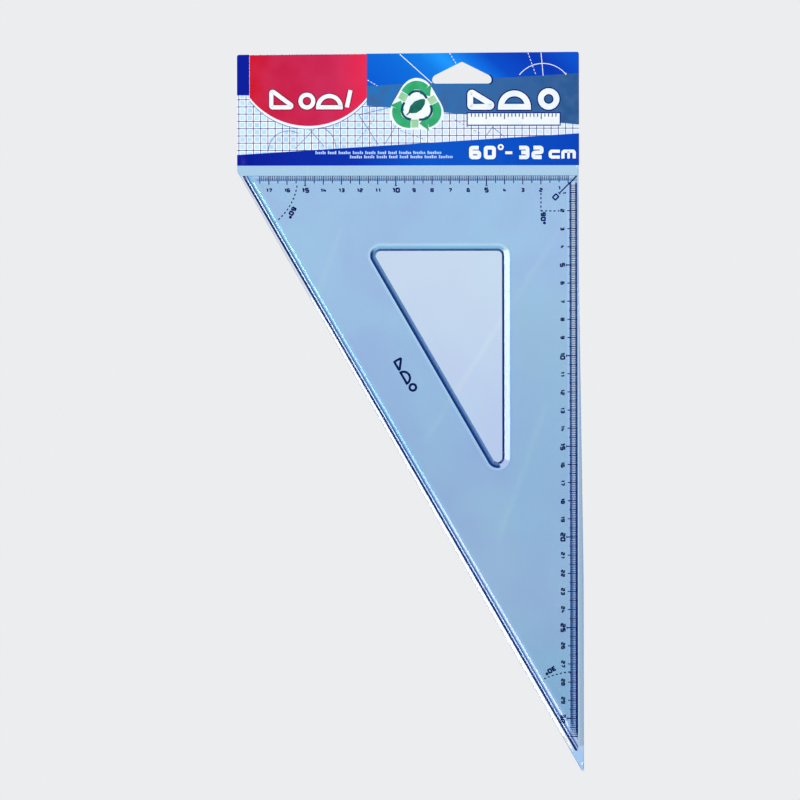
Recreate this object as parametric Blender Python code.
"""A 60-degree, 32 cm set square in its clear film sleeve, hung by the printed header.

Units are metres. X runs to the right as the pack is read, Z runs up and -Y faces the reader.
The origin is the top of the hang hole, midway through the header's thickness. Outlines are lists
of (x, z) points, counter-clockwise as the reader sees them, and side i runs from corner i to the next.
"""

import math

import bmesh
import bpy
from mathutils import Vector

# The set square: one clear moulding with three bevelled sides and a triangular window.
SQUARE_LENGTH = 0.320
SQUARE_ANGLE = math.radians(60)
SQUARE_WIDTH = SQUARE_LENGTH / math.tan(SQUARE_ANGLE)
SQUARE_THICKNESS = 0.0020
EDGE_THICKNESS = 0.0010
EDGE_ROUND = 0.00015
TOP_BEVEL = 0.0033
RIGHT_BEVEL = 0.0044
# The slanted side's bevel changes slope: (depth behind the front, inset from the side), front to edge.
SLANT_PROFILE = [(0, 0.00405), (0.00023, 0.0032), (0.00038, 0.00175), (0.00056, 0.0011), (0.0010, 0)]
CORNER_RADIUS = 0.0005
TIP_RADIUS = 0.0010

# The window keeps one margin from all three sides, and its rim is bevelled on the front.
WINDOW_MARGIN = 0.0415
WINDOW_TOP_RIM = 0.0036
WINDOW_SLANT_RIM = 0.0029
WINDOW_RIGHT_RIM = 0.0042
WINDOW_RADIUS = 0.0026
WINDOW_RIM_RADIUS = 0.0062
# The rim's slope, as (share of the rim's width out from the bore, depth behind the front).
RIM_PROFILE = [(1.30, -0.00027), (0.28, 0.00062), (0, 0.0011)]
CUTTER_END = 0.0030

# Where the set square's right-angled corner hangs.
SQUARE_RIGHT = 0.0635
SQUARE_TOP = -0.0624

# Film and the room left between two pieces that touch.
FILM = 0.00015
GAP = 0.0003

# The header.
HEADER_LEFT = -0.1239
HEADER_RIGHT = 0.0645
HEADER_TOP_LEFT = 0.0042
HEADER_TOP_RIGHT = 0.0056
HEADER_BOTTOM = -0.0569
HEADER_CORNER = 0.0008
HOLE_HALF_WIDTH = 0.0163
HOLE_HEIGHT = 0.01185
HOLE_ROOF_SLOPE = 0.5
HOLE_TOP_RADIUS = 0.0020
HOLE_SHOULDER_RADIUS = 0.0030
HOLE_BOTTOM_RADIUS = 0.0018
TOP_WELD_WIDTH = 0.0026
TOP_WELD_MARGIN = 0.0003
BOTTOM_WELD_WIDTH = 0.0050
BOTTOM_WELD_MARGIN = 0.0005

# The sleeve: its left side slants beside the set square's long slanted side.
SLEEVE_SHOULDER = -0.0600
SLEEVE_SLOPE = 0.5729
SLEEVE_RIGHT_TOP = 0.06425
SLEEVE_RIGHT_LOW = 0.0667
FLARE_START = -0.1088
FLARE_END = -0.2850
SLEEVE_TIP_RADIUS = 0.0008
FILM_TUCK = 0.0060
MOUTH_DROP = 0.0006
BEAD_WIDTH_SLANT = 0.0005
BEAD_WIDTH_RIGHT = 0.0004
BEAD_TOP = -0.0605
BEAD_BOTTOM = -0.3880

# Depths through the pack, front to back, with the header's middle at zero.
HEADER_FRONT_Y = -(FILM + GAP)
FRONT_FILM_Y = FILM + GAP
SQUARE_FRONT_Y = FRONT_FILM_Y + FILM / 2 + GAP
SQUARE_BACK_Y = SQUARE_FRONT_Y + SQUARE_THICKNESS
BACK_FILM_Y = SQUARE_BACK_Y + GAP + FILM / 2

ARC_STEPS = 8
SMOOTH_ANGLE = math.radians(30)


def clear_scene():
    for obj in list(bpy.data.objects):
        bpy.data.objects.remove(obj, do_unlink=True)


def plastic(name, colour, roughness, alpha=1.0):
    material = bpy.data.materials.new(name)
    material.use_nodes = True
    shader = material.node_tree.nodes["Principled BSDF"]
    shader.inputs["Base Color"].default_value = (*colour, 1.0)
    shader.inputs["Roughness"].default_value = roughness
    shader.inputs["Metallic"].default_value = 0.0
    shader.inputs["Alpha"].default_value = alpha
    return material


def inset(corners, distances):
    """The corners after side i has moved inwards by distances[i]."""
    sides = []
    for i, corner in enumerate(corners):
        start = Vector(corner)
        along = (Vector(corners[(i + 1) % len(corners)]) - start).normalized()
        inwards = Vector((-along.y, along.x))
        sides.append((start + inwards * distances[i], along))
    moved = []
    for i, (start, along) in enumerate(sides):
        before, before_along = sides[i - 1]
        across = before_along.x * along.y - before_along.y * along.x
        offset = start - before
        reach = (offset.x * along.y - offset.y * along.x) / across
        moved.append(before + before_along * reach)
    return moved


def rounded(corners, radii):
    """The outline of a polygon whose corner i is an arc of radii[i], or stays sharp where that is 0."""
    outline = []
    for i, corner in enumerate(corners):
        here = Vector(corner)
        radius = radii[i]
        if radius == 0:
            outline.append(here)
            continue
        back = (Vector(corners[i - 1]) - here).normalized()
        ahead = (Vector(corners[(i + 1) % len(corners)]) - here).normalized()
        half = back.angle(ahead) / 2
        centre = here + (back + ahead).normalized() * radius / math.sin(half)
        spoke = here + back * radius / math.tan(half) - centre
        turn = math.pi - 2 * half
        side = math.copysign(1, back.y * ahead.x - back.x * ahead.y)
        for step in range(ARC_STEPS + 1):
            angle = side * turn * step / ARC_STEPS
            swung = Vector((spoke.x * math.cos(angle) - spoke.y * math.sin(angle),
                            spoke.x * math.sin(angle) + spoke.y * math.cos(angle)))
            outline.append(centre + swung)
    return outline


def loft(name, rings, material):
    """A closed solid through rings of equal length, each an outline and its depth y."""
    shape = bmesh.new()
    loops = [[shape.verts.new((x, y, z)) for x, z in outline] for outline, y in rings]
    for loop, following in zip(loops, loops[1:]):
        for i, corner in enumerate(loop):
            j = (i + 1) % len(loop)
            shape.faces.new((corner, loop[j], following[j], following[i]))
    shape.faces.new(loops[0])
    shape.faces.new(loops[-1])
    bmesh.ops.recalc_face_normals(shape, faces=shape.faces)
    mesh = bpy.data.meshes.new(name)
    shape.to_mesh(mesh)
    shape.free()
    mesh.shade_smooth()
    mesh.set_sharp_from_angle(angle=SMOOTH_ANGLE)
    obj = bpy.data.objects.new(name, mesh)
    bpy.context.scene.collection.objects.link(obj)
    if material:
        mesh.materials.append(material)
    return obj


def sheet(name, outline, middle, thickness, material, parent):
    """A flat piece of even thickness whose middle plane lies at depth middle."""
    half = thickness / 2
    obj = loft(name, [(outline, -half), (outline, half)], material)
    obj.location.y = middle
    obj.parent = parent
    return obj


def cut(obj, cutter, name):
    cutter.hide_render = True
    cutter.display_type = "WIRE"
    modifier = obj.modifiers.new(name, "BOOLEAN")
    modifier.operation = "DIFFERENCE"
    modifier.solver = "EXACT"
    modifier.object = cutter


def frame_at(name, location, parent=None):
    empty = bpy.data.objects.new(name, None)
    empty.location = location
    empty.parent = parent
    bpy.context.scene.collection.objects.link(empty)
    return empty


def square_ring(top, slant, right, depth):
    """One ring of the set square: its outline with each side moved in, at depth behind its front."""
    corners = [(0, 0), (-SQUARE_WIDTH, 0), (0, -SQUARE_LENGTH)]
    radii = [CORNER_RADIUS, CORNER_RADIUS, TIP_RADIUS]
    return rounded(inset(corners, [top, slant, right]), radii), depth


def window_ring(share, depth):
    """One ring of the window's cutter: share is 0 at the bore and 1 where the rim meets the front."""
    corners = [(0, 0), (-SQUARE_WIDTH, 0), (0, -SQUARE_LENGTH)]
    rims = [WINDOW_TOP_RIM, WINDOW_SLANT_RIM, WINDOW_RIGHT_RIM]
    margins = [WINDOW_MARGIN - share * rim for rim in rims]
    radius = WINDOW_RADIUS + share * (WINDOW_RIM_RADIUS - WINDOW_RADIUS)
    return rounded(inset(corners, margins), [radius] * 3), depth


def add_set_square(slide):
    """The moulding, in the frame of its right-angled corner, with y running from front to back."""
    bevel_depth = SQUARE_THICKNESS - EDGE_THICKNESS
    rings = []
    for depth, slant in SLANT_PROFILE:
        left = 1 - depth / bevel_depth
        rings.append(square_ring(TOP_BEVEL * left, slant, RIGHT_BEVEL * left, depth))
    rings.append(square_ring(0, 0, 0, SQUARE_THICKNESS - EDGE_ROUND))
    rings.append(square_ring(EDGE_ROUND, EDGE_ROUND, EDGE_ROUND, SQUARE_THICKNESS))
    styrene = plastic("clear_blue_styrene", (0.42, 0.62, 0.82), 0.08, alpha=0.55)
    square = loft("set_square", rings, styrene)
    square.parent = slide
    bore = [window_ring(share, depth) for share, depth in RIM_PROFILE]
    window = loft("window_cutter", bore + [window_ring(0, CUTTER_END)], None)
    window.parent = slide
    cut(square, window, "window")


def left_side(z):
    """The sleeve's slanted left side at height z."""
    return HEADER_LEFT + (SLEEVE_SHOULDER - z) * SLEEVE_SLOPE


def sleeve_outline(top):
    tip = SLEEVE_SHOULDER - (SLEEVE_RIGHT_LOW - HEADER_LEFT) / SLEEVE_SLOPE
    corners = [
        (SLEEVE_RIGHT_TOP, top),
        (HEADER_LEFT, top),
        (HEADER_LEFT, SLEEVE_SHOULDER),
        (SLEEVE_RIGHT_LOW, tip),
        (SLEEVE_RIGHT_LOW, FLARE_END),
        (SLEEVE_RIGHT_TOP, FLARE_START),
    ]
    return rounded(corners, [0, 0, 0, SLEEVE_TIP_RADIUS, 0, 0])


def slant_bead_outline():
    """A thin bar along the inside of the sleeve's slanted side."""
    inwards = Vector((1, SLEEVE_SLOPE)).normalized() * BEAD_WIDTH_SLANT
    high = Vector((left_side(BEAD_TOP), BEAD_TOP))
    low = Vector((left_side(BEAD_BOTTOM), BEAD_BOTTOM))
    return [high, low, low + inwards, high + inwards]


def right_bead_outline():
    """A thin bar along the inside of the sleeve's right side, following its flare."""
    outer = [
        Vector((SLEEVE_RIGHT_LOW, BEAD_BOTTOM)),
        Vector((SLEEVE_RIGHT_LOW, FLARE_END)),
        Vector((SLEEVE_RIGHT_TOP, FLARE_START)),
        Vector((SLEEVE_RIGHT_TOP, BEAD_TOP)),
    ]
    inwards = Vector((-BEAD_WIDTH_RIGHT, 0))
    return outer + [point + inwards for point in reversed(outer)]


def add_sleeve(pack):
    clear = plastic("clear_film", (0.78, 0.88, 0.96), 0.12, alpha=0.25)
    bead = plastic("weld_bead", (0.70, 0.82, 0.93), 0.20, alpha=0.5)
    sheet("sleeve_front_film", sleeve_outline(HEADER_BOTTOM + FILM_TUCK), FRONT_FILM_Y, FILM, clear, pack)
    sheet("sleeve_back_film", sleeve_outline(HEADER_BOTTOM - MOUTH_DROP), BACK_FILM_Y, FILM, clear, pack)
    middle = (SQUARE_FRONT_Y + SQUARE_BACK_Y) / 2
    sheet("slant_weld_bead", slant_bead_outline(), middle, SQUARE_THICKNESS, bead, pack)
    sheet("right_weld_bead", right_bead_outline(), middle, SQUARE_THICKNESS, bead, pack)


def hole_outline():
    """The hang hole: a flat bottom, short sides and a pitched roof whose rounded top is at the origin."""
    pitch = math.atan(HOLE_ROOF_SLOPE)
    ridge = HOLE_TOP_RADIUS * (1 / math.cos(pitch) - 1)
    shoulder = ridge - HOLE_ROOF_SLOPE * HOLE_HALF_WIDTH
    corners = [
        (0, ridge),
        (-HOLE_HALF_WIDTH, shoulder),
        (-HOLE_HALF_WIDTH, -HOLE_HEIGHT),
        (HOLE_HALF_WIDTH, -HOLE_HEIGHT),
        (HOLE_HALF_WIDTH, shoulder),
    ]
    top, shoulder_round, bottom = HOLE_TOP_RADIUS, HOLE_SHOULDER_RADIUS, HOLE_BOTTOM_RADIUS
    return rounded(corners, [top, shoulder_round, bottom, bottom, shoulder_round])


def header_outline(bottom):
    corners = [
        (HEADER_RIGHT, HEADER_TOP_RIGHT),
        (HEADER_LEFT, HEADER_TOP_LEFT),
        (HEADER_LEFT, bottom),
        (HEADER_RIGHT, bottom),
    ]
    return rounded(corners, [HEADER_CORNER, HEADER_CORNER, 0, 0])


def strip(upper_left, upper_right, width):
    """A strip across the header, given by the heights of its upper edge's two ends."""
    left = HEADER_LEFT + TOP_WELD_MARGIN + HEADER_CORNER
    right = HEADER_RIGHT - TOP_WELD_MARGIN - HEADER_CORNER
    lower_left, lower_right = upper_left - width, upper_right - width
    return [(right, upper_right), (left, upper_left), (left, lower_left), (right, lower_right)]


def add_header(pack):
    printed = plastic("printed_film", (0.01, 0.12, 0.62), 0.18)
    plain = plastic("white_film", (0.85, 0.88, 0.92), 0.25)
    welded = plastic("welded_film", (0.55, 0.68, 0.85), 0.22)
    back_bottom = HEADER_BOTTOM + FILM_TUCK + GAP
    front = sheet("header_front_panel", header_outline(HEADER_BOTTOM), HEADER_FRONT_Y, FILM, printed, pack)
    back = sheet("header_back_panel", header_outline(back_bottom), FRONT_FILM_Y, FILM, plain, pack)
    punch = sheet("hang_hole_cutter", hole_outline(), 0, 4 * (FILM + GAP), None, pack)
    cut(front, punch, "hang_hole")
    cut(back, punch, "hang_hole")
    top_left = HEADER_TOP_LEFT - TOP_WELD_MARGIN
    top_right = HEADER_TOP_RIGHT - TOP_WELD_MARGIN
    sheet("header_top_weld", strip(top_left, top_right, TOP_WELD_WIDTH), 0, FILM, welded, pack)
    upper = HEADER_BOTTOM + BOTTOM_WELD_MARGIN + BOTTOM_WELD_WIDTH
    sheet("header_bottom_weld", strip(upper, upper, BOTTOM_WELD_WIDTH), 0, FILM, welded, pack)


def main():
    clear_scene()
    pack = frame_at("pack", (0, 0, 0))
    slide = frame_at("slide", (SQUARE_RIGHT, SQUARE_FRONT_Y, SQUARE_TOP), pack)
    add_set_square(slide)
    add_sleeve(pack)
    add_header(pack)


main()
